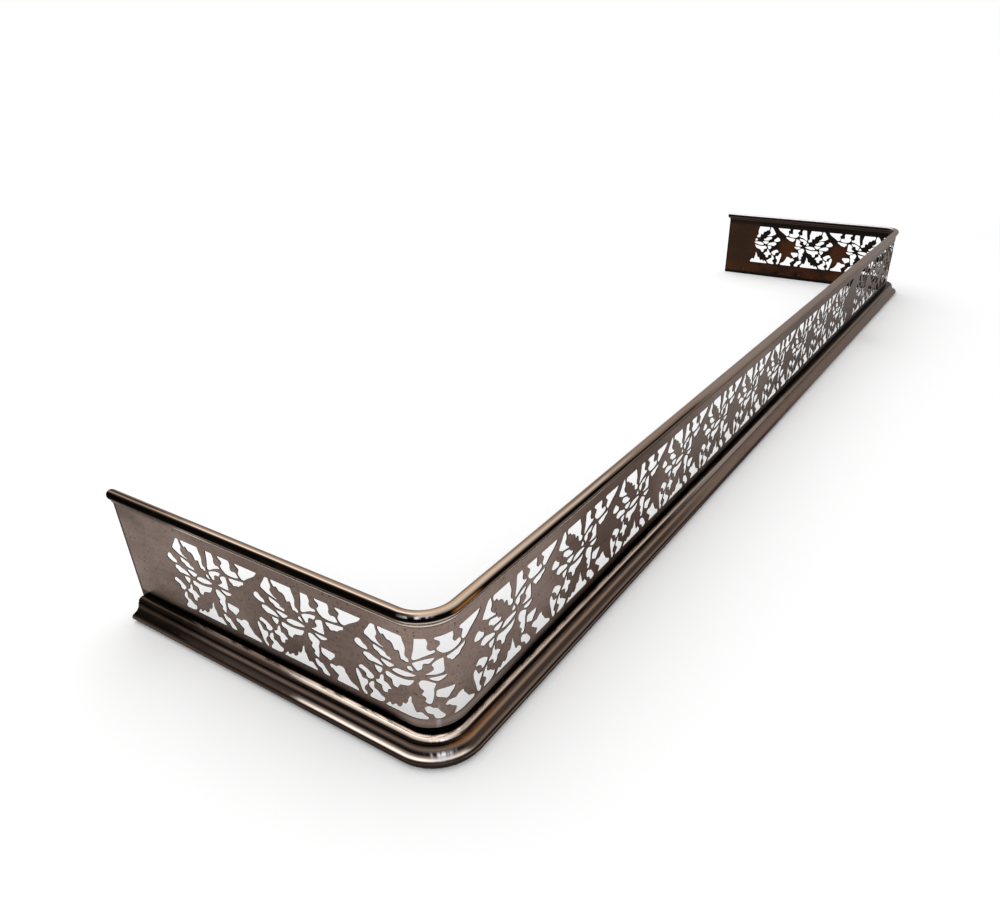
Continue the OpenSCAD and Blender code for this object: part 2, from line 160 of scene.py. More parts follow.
# A metal whose colours follow the wall: x along it, out of it and up
class Finish:
    def __init__(self, name, metallic, bend=wall["bend"]):
        self.material = bpy.data.materials.new(name)
        self.material.use_nodes = True
        tree = self.material.node_tree
        self.shader = tree.nodes["Principled BSDF"]
        self.shader.inputs["Metallic"].default_value = metallic
        self.shader.inputs["Specular Tint"].default_value = tone(*steel["graze"])
        place = Wire(tree).node("ShaderNodeTexCoord", out=3)
        split = place.node("ShaderNodeSeparateXYZ", None, {0: place}).socket.node
        self.x, self.y, self.z = (Wire(tree, split.outputs[i]) for i in range(3))
        across = self.x.math("MAXIMUM", self.x.math("ABSOLUTE", self.x) - (wall["half"] - bend), 0.0)
        down = self.x.math("MAXIMUM", (wall["front"] + bend) - self.y, 0.0)
        self.out = self.x.math("SQRT", across * across + down * down) - bend
        self.along = self.x + self.x.math("SIGN", self.x) * (self.y - wall["front"])

    def spread(self, along, out, up, shift):
        return self.x.node("ShaderNodeCombineXYZ", None,
                           {0: self.along * along + shift, 1: self.out * out, 2: self.z * up})

    # Noise stretched in the wall's own directions, as waves in a metre
    def noise(self, along, out, up, detail=3.0, rough=0.55, shift=0.0):
        return self.x.node("ShaderNodeTexNoise", {"noise_dimensions": "3D"},
                           {"Vector": self.spread(along, out, up, shift), "Scale": 1.0,
                            "Detail": detail, "Roughness": rough})

    # Small round pits: share of the cells that hold one, and how wide it is
    def pits(self, scale, share, wide, shift=0.0):
        cell = self.x.node("ShaderNodeTexVoronoi", None,
                           {"Vector": self.spread(scale, scale, scale, shift), "Scale": 1.0})
        chance = Wire(cell.tree, cell.socket.node.outputs["Color"])
        lucky = chance.node("ShaderNodeSeparateColor", None, {0: chance}).rise(1 - share, 1 - share + 0.02)
        return cell.rise(wide, wide * 0.4) * lucky

    # Bands of named tones across a section, changing from one run along the wall to the next: painted
    # reflections, highlights and shade
    def bands(self, place, kinds, runs, ends, shift):
        low, high = ends
        color = None
        for kind, start, full in runs:
            stops = [((at - low) / (high - low), tone(*steel[key])) for at, key in kinds[kind]]
            here = place.ramp(stops)
            color = (self.along + shift).rise(start, full).mix(color, here) if color else here
        return color

    # A patch of light on the near corner, at or beside its middle
    def glint(self, wide, beside=0.0):
        skew = self.x - self.y + (wall["half"] + wall["front"] - beside)
        broken = self.noise(260, 60, 60, 2.0, 0.5, 6.0).rise(0.36, 0.62)
        return self.x.math("ABSOLUTE", skew).rise(wide, 0.0) * broken * self.x.rise(-0.6, -0.62)

    # Darker on the last few millimetres at the wall's two rear ends
    def rearEdge(self):
        return self.y.rise(wall["rear"] - 3.4 * mm, wall["rear"] - 1.4 * mm) * 0.85

    def link(self, socket, wire):
        self.x.tree.links.new(wire.socket, self.shader.inputs[socket])

    def bump(self, height, strength, distance):
        self.link("Normal", self.x.node("ShaderNodeBump", None, {"Height": height, "Strength": strength,
                                                               "Distance": distance}))


# ---- finishes: colours as they look in the photo, 0 to 255
# Some of these are painted light and shade: lit is painted light round the near corner, the pale tone at the
# corner's foot is painted light there, foot is painted shade above the plinth and underRail painted shade
# below the rail
fretTones = dict(dull=(108, 91, 82), mid=(130, 112, 103), worn=(146, 128, 119), shade=(84, 68, 60),
                 foot=(34, 28, 25), underRail=(86, 69, 60), far=(182, 164, 155), lit=(162, 142, 132),
                 paintedFootLight=(162, 143, 132), pit=(38, 31, 28))


def fretFinish():
    finish = Finish("fretSteel", 0.8)
    cloud = finish.noise(16, 16, 34, 5.0)
    drag = finish.noise(30, 200, 1500, 3.0, 0.6, 4.0)
    pits = finish.pits(300, 0.2, 0.3)
    clusters = finish.pits(620, 0.5, 0.34, 3.0) * finish.noise(34, 34, 34, 2.0, 0.5, 8.0).rise(0.56, 0.68)
    color = cloud.ramp([(0.32, tone(*fretTones["dull"])), (0.5, tone(*fretTones["mid"])),
                        (0.68, tone(*fretTones["worn"]))])
    # Painted light: the sheet is lighter round the near corner
    nearCorner = finish.along.rise(-0.80, -0.70) * finish.along.rise(-0.48, -0.58)
    color = (nearCorner * 0.45).mix(color, tone(*fretTones["lit"]))
    # Darker over a stretch of the front left of the middle, and from the middle on to the right rear end
    darkStretch = finish.along.rise(-0.56, -0.46) * finish.along.rise(-0.30, -0.37)
    darkStretch = darkStretch.math("MAXIMUM", darkStretch, finish.along.rise(-0.10, 0.06))
    color = darkStretch.mix(color, tone(*fretTones["far"]), "MULTIPLY")
    color = (drag.rise(0.3, 0.75) * 0.35).mix(color, tone(*fretTones["dull"]))
    grain = finish.noise(330, 330, 330, 4.0, 0.7, 11.0)
    patches = finish.noise(6, 0, 12, 2.0, 0.5, 13.0)
    shaded = grain.rise(0.46, 0.72) * 0.5 + patches.rise(0.46, 0.66) * 0.4
    color = shaded.mix(color, tone(*fretTones["shade"]))
    color = (pits.math("MAXIMUM", pits, clusters) * 0.8).mix(color, tone(*fretTones["pit"]))
    # Painted light: a paler, less metallic patch at the sheet's foot round the near corner
    paintedFootLight = finish.along.rise(-0.72, -0.69) * finish.along.rise(-0.55, -0.63)
    paintedFootLight = paintedFootLight * finish.z.rise(27 * mm, 22 * mm)
    color = paintedFootLight.mix(color, tone(*fretTones["paintedFootLight"]))
    finish.link("Metallic", 0.8 - paintedFootLight * 0.5)
    # Painted shade on the sheet's foot just above the plinth, weaker round the near corner
    foot = finish.z.rise(22.0 * mm, 18.4 * mm) * (1 - paintedFootLight * 0.8)
    color = foot.mix(color, tone(*fretTones["foot"]))
    # Painted highlight: a thin broken streak of light up the near corner, above the plinth
    glintStreak = finish.glint(0.004) * finish.z.rise(52 * mm, 26 * mm)
    color = (glintStreak * 0.7).mix(color, tone(*steel["glint"]))
    # Painted shade on the sheet just below the rail's skirt
    color = finish.z.rise(100.3 * mm, 101.6 * mm).mix(color, tone(*fretTones["underRail"]))
    color = finish.rearEdge().mix(color, tone(*fretTones["pit"]))
    finish.link("Base Color", color)
    finish.link("Roughness", cloud * 0.16 + 0.26 + pits * 0.2)
    finish.bump(drag * 0.5 - pits, 0.25, 0.4 * mm)
    return finish.material


# deep also serves as painted shade on the inner face, and warm as a painted highlight on the tablets
innerTones = dict(rust=(52, 29, 15), deep=(14, 9, 7), warm=(86, 48, 24), land=(54, 36, 22), foot=(9, 7, 6))


# Where one plain tablet lies left and right of the seam, and how far apart they are, in metres
inside = dict(leftTablet=-0.548, rightTablet=0.864, seam=0.365, land=0.925, pitch=97 * mm, height=53 * mm)


def innerFinish():
    finish = Finish("fretInside", 0.1)
    finish.shader.inputs["Specular IOR Level"].default_value = 0.15
    cloud = finish.noise(18, 18, 30, 6.0, 0.62, 9.0)
    speck = finish.noise(420, 420, 420, 2.0, 0.5)
    color = cloud.ramp([(0.34, tone(*innerTones["deep"])), (0.54, tone(*innerTones["rust"])),
                        (0.78, tone(*innerTones["warm"]))])
    rearLand = finish.along.math("ABSOLUTE", finish.along).rise(inside["land"] - 0.01, inside["land"])
    right = finish.along.math("GREATER_THAN", finish.along, inside["seam"])
    first = right * (inside["rightTablet"] - inside["leftTablet"]) + inside["leftTablet"]
    turn = (finish.along - first) * (2 * math.pi / inside["pitch"])
    tablet = turn.math("COSINE", turn).rise(0.2, 0.95)
    tablet = tablet * finish.z.math("ABSOLUTE", finish.z - inside["height"]).rise(26 * mm, 10 * mm)
    # Painted shade on the inner face above the plinth, left off the tablets and the rear lands
    innerShade = (1 - rearLand) * (1 - tablet) * finish.z.rise(20 * mm, 27 * mm)
    color = (innerShade * 0.85).mix(color, tone(*innerTones["deep"]))
    # Painted highlight on the plain tablets
    color = (tablet * (1 - rearLand) * 0.6).mix(color, tone(*innerTones["warm"]))
    color = (rearLand * 0.7).mix(color, tone(*innerTones["land"]))
    low = finish.z.rise(30 * mm, 12 * mm) * cloud.rise(0.35, 0.6)
    color = (low * 0.4).mix(color, tone(*innerTones["warm"]))
    color = (speck.rise(0.55, 0.75) * 0.5).mix(color, tone(*innerTones["deep"]))
    # Painted shade on the inner face below the rail
    color = (finish.z.rise(90 * mm, 100 * mm) * 0.8).mix(color, tone(*innerTones["deep"]))
    color = finish.z.rise(6 * mm, 4 * mm).mix(color, tone(*innerTones["foot"]))
    color = finish.rearEdge().mix(color, tone(*innerTones["foot"]))
    finish.link("Base Color", color)
    finish.link("Roughness", cloud * 0.3 + 0.45)
    finish.bump(speck + cloud * 0.6, 0.35, 0.5 * mm)
    return finish.material


def edgeFinish():
    finish = Finish("sawnEdge", 0.6)
    cloud = finish.noise(200, 200, 200, 2.0)
    finish.link("Base Color", cloud.ramp([(0.35, tone(14, 11, 9)), (0.7, tone(40, 32, 27))]))
    finish.link("Roughness", cloud * 0.3 + 0.35)
    return finish.material


# Painted reflections, highlights and shade on the polished rail: bands of tones by the angle about its
# middle, in degrees: 0 is outward, 90 is up
railReflectionBands = dict(
    rear=[(-90, "umber"), (-55, "taupe"), (-18, "umber"), (-4, "ink"), (46, "ink"), (56, "umber"),
          (64, "tan"), (78, "umber"), (92, "soot"), (104, "grey"), (120, "cream"),
          (150, "cream"), (168, "taupe")],
    bright=[(-90, "taupe"), (-60, "bright"), (-20, "cream"), (-9, "umber"), (2, "ink"), (48, "ink"),
            (58, "umber"), (67, "cream"), (77, "tan"), (88, "taupe"), (104, "taupe"), (116, "grey"),
            (132, "cream"), (150, "grey"), (168, "taupe")],
    turn=[(-90, "taupe"), (-60, "bright"), (-20, "bright"), (-8, "umber"), (0, "ink"), (34, "ink"),
          (46, "grey"), (56, "cream"), (66, "cream"), (77, "honey"), (88, "honey"), (104, "taupe"),
          (120, "grey"), (140, "cream"), (165, "taupe")],
    near=[(-90, "taupe"), (-60, "bright"), (-20, "cream"), (-8, "taupe"), (0, "umber"), (8, "ink"),
          (32, "ink"), (43, "taupe"), (55, "cream"), (68, "cream"), (80, "honey"), (94, "taupe"),
          (106, "taupe"), (120, "cream"), (138, "bright"), (152, "cream"), (168, "taupe")],
    inside=[(-90, "umber"), (0, "taupe"), (72, "taupe"), (84, "cream"), (98, "glint"), (128, "glint"),
            (138, "taupe"), (150, "ink"), (180, "ink")],
    thin=[(-90, "taupe"), (-50, "tan"), (-8, "tan"), (4, "umber"), (13, "ink"), (22, "soot"), (34, "taupe"),
          (60, "tan"), (76, "grey"), (100, "tan"), (136, "cream"), (165, "tan")],
    dull=[(-90, "taupe"), (-50, "tan"), (0, "tan"), (40, "grey"), (64, "grey"), (84, "grey"), (104, "tan"),
          (136, "grey"), (165, "tan")])
# Where along the wall each kind of band starts and where it is full, in metres
railRuns = [("rear", -1.0, -1.0), ("bright", -0.93, -0.88), ("turn", -0.70, -0.68), ("near", -0.64, -0.60),
            ("thin", -0.47, -0.39), ("dull", -0.31, -0.19), ("inside", 0.66, 0.69)]


def railFinish():
    finish = Finish("railSteel", 1.0)
    angle = finish.x.math("ARCTAN2", finish.z - rail["middle"] * mm, finish.out + rail["inset"] * mm)
    wander = (finish.noise(9, 0, 0, 3.0, 0.5, 2.0) - 0.5) * 0.2
    cloud = finish.noise(24, 60, 60, 5.0, 0.6, 7.0)
    color = finish.bands((angle + wander) / (2 * math.pi) + 0.5, railReflectionBands, railRuns, (-180, 180),
                         (cloud - 0.5) * 0.08)
    color = (cloud.rise(0.55, 0.8) * 0.25).mix(color, tone(*steel["rust"]))
    # Painted highlight: a broken patch of light on the rail beside the near corner, about 20 to 50 degrees up
    glint = finish.glint(0.018, -0.011) * angle.rise(0.36, 0.5) * angle.rise(0.86, 0.62)
    color = (glint * 0.9).mix(color, tone(*steel["glint"]))
    # Painted reflection: an amber patch on the rail's outer side just past the near corner
    warm = finish.along.rise(-0.652, -0.642) * finish.along.rise(-0.616, -0.630) * cloud.rise(0.35, 0.5)
    warm = warm * angle.rise(-0.1, 0.1) * angle.rise(0.6, 0.3)
    color = (warm * 0.8).mix(color, tone(*steel["amberReflection"]))
    finish.link("Base Color", color)
    finish.link("Roughness", finish.along.rise(-0.42, -0.20) * 0.16 + 0.2 + (cloud - 0.5) * 0.16)
    finish.bump(finish.noise(12, 600, 600, 3.0), 0.12, 0.3 * mm)
    return finish.material


# Painted reflections, highlights and shade on the polished plinth: bands of tones by the distance out minus
# the height, in millimetres, and where they begin and end
plinthEnds = (-18, 16)
plinthReflectionBands = dict(
    rear=[(-18, "ink"), (-13.6, "soot"), (-11.4, "umber"), (-9.4, "soot"), (-5, "ink"), (-0.6, "umber"),
          (1.6, "soot"), (9.6, "ink"), (11.6, "umber"), (14.6, "taupe")],
    side=[(-18, "ink"), (-14.2, "ink"), (-13, "taupe"), (-11.4, "taupe"), (-9, "umber"), (-3.8, "soot"),
          (-0.6, "taupe"), (2.6, "soot"), (5.6, "umber"), (8.4, "umber"), (10.8, "soot"), (12.6, "umber"),
          (14.8, "taupe")],
    turn=[(-18, "ink"), (-14.2, "ink"), (-13.2, "cream"), (-11, "bright"), (-9.2, "cream"), (-7.6, "soot"),
          (-4, "soot"), (-0.6, "taupe"), (2.4, "soot"), (4.4, "soot"), (6.4, "grey"), (8.6, "bright"),
          (10.2, "soot"), (12.6, "umber"), (14.2, "ink")],
    near=[(-18, "ink"), (-14.2, "ink"), (-13, "taupe"), (-12, "cream"), (-10.6, "cream"), (-9.2, "soot"),
          (-6, "ink"), (-4.8, "taupe"), (-3, "taupe"), (-0.4, "tan"), (2.4, "umber"), (6, "umber"),
          (8.8, "taupe"), (10.2, "ink"), (11.2, "soot"), (12.4, "taupe"), (13.4, "soot"), (14.4, "ink")],
    middle=[(-18, "ink"), (-14, "soot"), (-12.6, "umber"), (-11, "grey"), (-4, "grey"), (-0.6, "taupe"),
            (3.2, "taupe"), (8.8, "taupe"), (10.6, "umber"), (12.4, "umber"), (14.6, "soot")],
    far=[(-18, "soot"), (-13.4, "soot"), (-11, "umber"), (-8.6, "taupe"), (-4, "tan"), (-0.6, "taupe"),
         (3.2, "taupe"), (8.8, "taupe"), (12.4, "taupe"), (14.6, "umber")])
plinthRuns = [("rear", -1.0, -1.0), ("side", -0.94, -0.88), ("turn", -0.82, -0.77), ("near", -0.655, -0.63),
              ("middle", -0.36, -0.18), ("far", -0.10, 0.12)]


def plinthFinish():
    finish = Finish("plinthSteel", 1.0, plinth["bend"] * mm)
    cloud = finish.noise(22, 60, 60, 5.0, 0.6, 3.0)
    wander = (finish.noise(8, 0, 0, 3.0, 0.5, 5.0) - 0.5) * 1.2 * mm
    level = finish.out - finish.z + wander
    low, high = plinthEnds
    color = finish.bands((level - low * mm) / ((high - low) * mm), plinthReflectionBands, plinthRuns, plinthEnds,
                         (cloud - 0.5) * 0.1)
    color = (cloud.rise(0.56, 0.8) * 0.3).mix(color, tone(*steel["rust"]))
    # Painted reflection: an amber patch between the bead and the nose just past the near corner
    warm = finish.along.rise(-0.672, -0.660) * finish.along.rise(-0.585, -0.630) * cloud.rise(0.42, 0.6)
    warm = warm * level.rise(-7 * mm, -4 * mm) * level.rise(2 * mm, -2 * mm)
    color = (warm * 0.5).mix(color, tone(*steel["amberReflection"]))
    # Painted highlight: a broken patch of light on the bead's crest and the nose at the near corner
    lip = level.rise(-12 * mm, -9 * mm) * level.rise(-7 * mm, -9 * mm)
    lip = lip + level.rise(0, 5 * mm) * level.rise(11 * mm, 8 * mm)
    color = (finish.glint(0.02) * lip * 0.8).mix(color, tone(*steel["glint"]))
    # Painted shade on the underside of the nose, darkest along the bottom edge
    color = level.rise(13.2 * mm, 14.6 * mm).mix(color, tone(*steel["umber"]))
    color = finish.z.rise(3.6 * mm, 2.4 * mm).mix(color, tone(*steel["soot"]))
    finish.link("Base Color", color)
    finish.link("Roughness", (cloud - 0.5) * 0.24 + 0.26)
    finish.bump(finish.noise(10, 500, 500, 3.0), 0.12, 0.3 * mm)
    return finish.material


def ironFinish(name, dark, light, rough, metallic):
    finish = Finish(name, metallic)
    cloud = finish.noise(60, 60, 60, 6.0, 0.6)
    finish.link("Base Color", cloud.ramp([(0.35, tone(*dark)), (0.7, tone(*light))]))
    finish.link("Roughness", cloud * 0.2 + rough)
    finish.bump(finish.noise(500, 500, 500, 3.0), 0.3, 0.3 * mm)
    return finish.material


# ---- the wall laid flat: how far along it from the left rear end, and how far out of it
def unroll(x, y):
    bend = wall["bend"]
    straightX, straightY = wall["half"] - bend, wall["front"] + bend
    if y >= straightY:
        if x < 0:
            return wall["rear"] - y, -wall["half"] - x
        return wallLength - wall["rear"] + y, x - wall["half"]
    if abs(x) <= straightX:
        return sideLength + bendLength + x + straightX, wall["front"] - y
    across, down = abs(x) - straightX, straightY - y
    out = math.hypot(across, down) - bend
    if x < 0:
        return sideLength + bend * math.atan2(down, across), out
    return sideLength + bendLength + frontLength + bend * math.atan2(across, down), out


def rollUp(along, out):
    bend = wall["bend"]
    straightX, straightY = wall["half"] - bend, wall["front"] + bend
    right = along > wallLength / 2
    if right:
        along = wallLength - along
    if along <= sideLength:
        x, y = wall["half"] + out, wall["rear"] - along
    elif along < sideLength + bendLength:
        angle = (along - sideLength) / bend
        x, y = straightX + (bend + out) * math.cos(angle), straightY - (bend + out) * math.sin(angle)
    else:
        x, y = straightX - (along - sideLength - bendLength), wall["front"] - out
    return (x, y) if right else (-x, y)


def addPiece(name, mesh, replaced, materials, sharp=35):
    data = bpy.data.meshes.new(name)
    mesh.to_mesh(data)
    mesh.free()
    for material in materials:
        data.materials.append(material)
    data.shade_smooth()
    data.set_sharp_from_angle(angle=math.radians(sharp))
    piece = bpy.data.objects.new(name, data)
    bpy.context.scene.collection.objects.link(piece)
    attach(piece, "root")
    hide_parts(*replaced)
    return piece


# ---- fret sheets, cut again from the frame's own outlines with the saw's round turns
fret = dict(turn=0.9, straightness=0.05, bendSteps=14)


def outlinesOf(node):
    mesh = bmesh.new()
    mesh.from_mesh(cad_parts[node].data)
    bmesh.ops.remove_doubles(mesh, verts=mesh.verts, dist=2e-6)
    mesh.verts.index_update()
    mesh.faces.index_update()
    flat = [unroll(vert.co.x, vert.co.y) for vert in mesh.verts]
    outer = {face.index for face in mesh.faces if all(abs(flat[vert.index][1]) < 2e-5 for vert in face.verts)}
    follow = {}
    for face in mesh.faces:
        if face.index in outer:
            for corner in face.loops:
                if sum(other.index in outer for other in corner.edge.link_faces) == 1:
                    follow[corner.vert.index] = corner.link_loop_next.vert.index
    heights = [vert.co.z for vert in mesh.verts]
    mesh.free()
    loops = []
    while follow:
        start, step = follow.popitem()
        loop = [start]
        while step != start:
            loop.append(step)
            step = follow.pop(step)
        loops.append([Vector((flat[i][0], heights[i])) / mm for i in loop])
    return loops


def spanOf(loop):
    return max(point.x for point in loop) - min(point.x for point in loop)


def isRound(loop):
    middle = sum(loop, Vector((0, 0))) / len(loop)
    radii = [(point - middle).length for point in loop]
    return len(loop) > 9 and max(radii) - min(radii) < 0.15


def straighten(loop):
    kept = list(loop)
    index = 0
    while index < len(kept) and len(kept) > 3:
        before, here, after = kept[index - 1], kept[index], kept[(index + 1) % len(kept)]
        line = after - before
        away = abs(line.x * (here.y - before.y) - line.y * (here.x - before.x)) / max(line.length, 1e-6)
        if away < fret["straightness"]:
            kept.pop(index)
        else:
            index += 1
    return kept


def roundTurns(loop):
    eased = []
    for index, here in enumerate(loop):
        before, after = loop[index - 1], loop[(index + 1) % len(loop)]
        start = here + (before - here) * min(0.45, fret["turn"] / max((before - here).length, 1e-6))
        end = here + (after - here) * min(0.45, fret["turn"] / max((after - here).length, 1e-6))
        eased += [start, (start + here * 2 + end) / 4, end]
    return eased


def cutSheet(node):
    loops = sorted(outlinesOf(node), key=spanOf, reverse=True)
    shapes = [straighten(loops[0])]
    shapes += [(loop if isRound(loop) else roundTurns(straighten(loop)))[::-1] for loop in loops[1:]]
    points, faces = [], []
    for shape in shapes:
        faces.append(list(range(len(points), len(points) + len(shape))))
        points += shape
    laid = delaunay_2d_cdt(points, [], faces, 1, 1e-5, True)
    mesh = bmesh.new()
    verts = [mesh.verts.new((point.x * mm, 0, point.y * mm)) for point in laid[0]]
    for face, origins in zip(laid[2], laid[5]):
        if origins == [0]:
            mesh.faces.new([verts[i] for i in face])
    bmesh.ops.delete(mesh, geom=[vert for vert in mesh.verts if not vert.link_faces], context="VERTS")
    return mesh


# Steps across the two bends, so that the sheet turns smoothly
def scoreBends(mesh):
    for start in (sideLength, sideLength + bendLength + frontLength):
        for step in range(fret["bendSteps"] + 1):
            along = start + bendLength * step / fret["bendSteps"]
            near = [face for face in mesh.faces
                    if min(v.co.x for v in face.verts) < along < max(v.co.x for v in face.verts)]
            edges = {edge for face in near for edge in face.edges}
            verts = {vert for face in near for vert in face.verts}
            bmesh.ops.bisect_plane(mesh, geom=near + sorted(edges, key=lambda e: e.index)
                                   + sorted(verts, key=lambda v: v.index), dist=1e-8,
                                   plane_co=(along, 0, 0), plane_no=(1, 0, 0))
            mesh.edges.index_update()
            mesh.verts.index_update()


def addFret(name, node, materials):
    mesh = cutSheet(node)
    mesh.edges.index_update()
    mesh.verts.index_update()
    scoreBends(mesh)
    bmesh.ops.recalc_face_normals(mesh, faces=mesh.faces)
    outer = list(mesh.faces)
    if outer[0].normal.y > 0:
        bmesh.ops.reverse_faces(mesh, faces=outer)
    rims = [(edge, edge.link_loops[0]) for edge in mesh.edges if len(edge.link_faces) == 1]
    inner = {vert: mesh.verts.new(vert.co) for vert in list(mesh.verts)}
    walls = [(loop.vert, loop.link_loop_next.vert) for edge, loop in rims]
    for face in outer:
        mesh.faces.new([inner[vert] for vert in reversed(face.verts)]).material_index = 1
    for first, second in walls:
        mesh.faces.new((second, first, inner[first], inner[second])).material_index = 2
    for vert, twin in inner.items():
        along = vert.co.x
        vert.co.x, vert.co.y = rollUp(along, 0)
        twin.co.x, twin.co.y = rollUp(along, -wall["sheet"])
    return addPiece(name, mesh, [node], materials, 30)


# ---- pieces that run round the three sides: each point of a section has its own bend at the corners
def sweep(section, rear, steps=24):
    angles = [math.pi / 2 * step / steps for step in range(steps + 1)]
    stations = [(-1, None)] + [(-1, angle) for angle in angles]
    stations += [(1, angle) for angle in angles[::-1]] + [(1, None)]
    mesh = bmesh.new()
    rings = []
    for side, angle in stations:
        ring = []
        for out, up, bend in section:
            out, up, bend = out * mm, up * mm, bend * mm
            x, y = wall["half"] + out, rear
            if angle is not None:
                x = wall["half"] - bend + (bend + out) * math.cos(angle)
                y = wall["front"] + bend - (bend + out) * math.sin(angle)
            ring.append(mesh.verts.new((side * x, y, up)))
        rings.append(ring)
    for first, second in zip(rings, rings[1:]):
        for i in range(len(section)):
            j = (i + 1) % len(section)
            mesh.faces.new((first[i], first[j], second[j], second[i]))
    mesh.faces.new(rings[0])
    mesh.faces.new(rings[-1][::-1])
    bmesh.ops.recalc_face_normals(mesh, faces=mesh.faces)
    return mesh


def arc(middleX, middleZ, radius, start, end, steps):
    turns = [math.radians(start + (end - start) * step / steps) for step in range(steps + 1)]
    return [(middleX + radius * math.cos(turn), middleZ + radius * math.sin(turn)) for turn in turns]


# Sizes in millimetres, as in the CAD
rail = dict(middle=107.9, radius=4.5, inset=1.5, thick=0.8, skirt=102.2, lip=101.5, seat=0.1, round=0.3)
plinth = dict(top=18, nose=18.3, noseRadius=2.6, bead=9.4, beadRadius=4.2, step=0.6, cove=7.4, foot=1.6,
              bend=20, short=8, end=1, seat=0.1)


def railSection():
    x, z, radius, thick = -rail["inset"], rail["middle"], rail["radius"], rail["thick"]
    skirtIn, skirtOut = rail["seat"], rail["seat"] + thick
    lipOut, lipIn = -wall["sheet"] / mm - rail["seat"], -wall["sheet"] / mm - rail["seat"] - thick
    bore = radius - thick
    edge = rail["round"]
    start = -math.degrees(math.acos((skirtOut - x) / radius))
    end = 360 - math.degrees(math.acos((lipIn - x) / radius))
    boreStart = 360 - math.degrees(math.acos((lipOut - x) / bore))
    boreEnd = -math.degrees(math.acos((skirtIn - x) / bore))
    section = [(skirtIn, rail["skirt"])]
    section += arc(skirtOut - edge, rail["skirt"] + edge, edge, -90, 0, 4)
    section += arc(x, z, radius, start + 6, end - 4, 44)
    section += [(lipIn, rail["lip"] + edge), (lipIn + edge, rail["lip"]), (lipOut, rail["lip"])]
    section += arc(x, z, bore, boreStart, boreEnd, 24)
    return [(out, up, wall["bend"] / mm) for out, up in section]


def plinthSection():
    beadX, beadZ = plinth["bead"] - plinth["beadRadius"], plinth["top"] - plinth["beadRadius"]
    noseX, noseZ = plinth["nose"] - plinth["noseRadius"], plinth["foot"] + plinth["noseRadius"]
    coveX = plinth["bead"] + plinth["step"] + plinth["cove"]
    coveZ = noseZ + plinth["noseRadius"] + plinth["cove"]
    inner, outer = wall["bend"] / mm, plinth["bend"]
    section = [(plinth["seat"], plinth["foot"], inner), (plinth["seat"], plinth["top"], inner)]
    section += [(out, up, outer) for out, up in arc(beadX, beadZ, plinth["beadRadius"], 90, 6, 14)]
    section += [(out, up, outer) for out, up in arc(coveX, coveZ, plinth["cove"], 180, 254, 14)]
    section += [(out, up, outer) for out, up in arc(noseX, noseZ, plinth["noseRadius"], 84, -90, 16)]
    return section


def addDome(name, side, node, materials):
    mesh = bmesh.new()
    bmesh.ops.create_uvsphere(mesh, u_segments=32, v_segments=18, radius=rail["radius"] * mm)
    bmesh.ops.bisect_plane(mesh, geom=mesh.verts[:] + mesh.edges[:] + mesh.faces[:], plane_co=(0, 0, 0),
                           plane_no=(0, -1, 0), clear_outer=True)
    bmesh.ops.contextual_create(mesh, geom=[edge for edge in mesh.edges if edge.is_boundary])
    place = (side * (wall["half"] - rail["inset"] * mm), wall["rear"], rail["middle"] * mm)
    bmesh.ops.translate(mesh, verts=mesh.verts, vec=place)
    bmesh.ops.recalc_face_normals(mesh, faces=mesh.faces)
    return addPiece(name, mesh, [node], materials)


# ---- rivets, in millimetres: radius and height of the head, then radius and distance out of the wall.
# A head sits on the sheet's back, or on the strap behind it
sheetBack = -wall["sheet"] / mm
strap = dict(thick=1.5, seat=0.1)
strapBack = sheetBack - strap["seat"] - strap["thick"]
rivets = dict(
    head=[(0.0, 1.2), (0.9, 1.1), (1.6, 0.82), (2.15, 0.45), (2.42, 0.12), (2.47, 0.0)],
    plinthRivets=dict(seat=-sheetBack,
                      shank=[(1.3, sheetBack), (1.3, 1.1), (1.95, 1.1), (1.95, 1.8), (0.0, 1.8)]),
    seamRivets=dict(seat=-strapBack,
                    shank=[(1.3, strapBack), (1.3, sheetBack), (1.42, sheetBack), (1.42, 0.0), (0.0, 0.0)]))


def placesOf(node):
    mesh = bmesh.new()
    mesh.from_mesh(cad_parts[node].data)
    bmesh.ops.remove_doubles(mesh, verts=mesh.verts, dist=2e-6)
    mesh.verts.ensure_lookup_table()
    seen, places = set(), []
    for vert in mesh.verts:
        if vert.index in seen:
            continue
        island, stack = [], [vert]
        seen.add(vert.index)
        while stack:
            here = stack.pop()
            island.append(here.co.copy())
            for edge in here.link_edges:
                other = edge.other_vert(here)
                if other.index not in seen:
                    seen.add(other.index)
                    stack.append(other)
        low, high = (Vector(pick(co[i] for co in island) for i in range(3)) for pick in (min, max))
        middle = (low + high) / 2
        places.append((unroll(middle.x, middle.y)[0], middle.z))
    mesh.free()
    return places


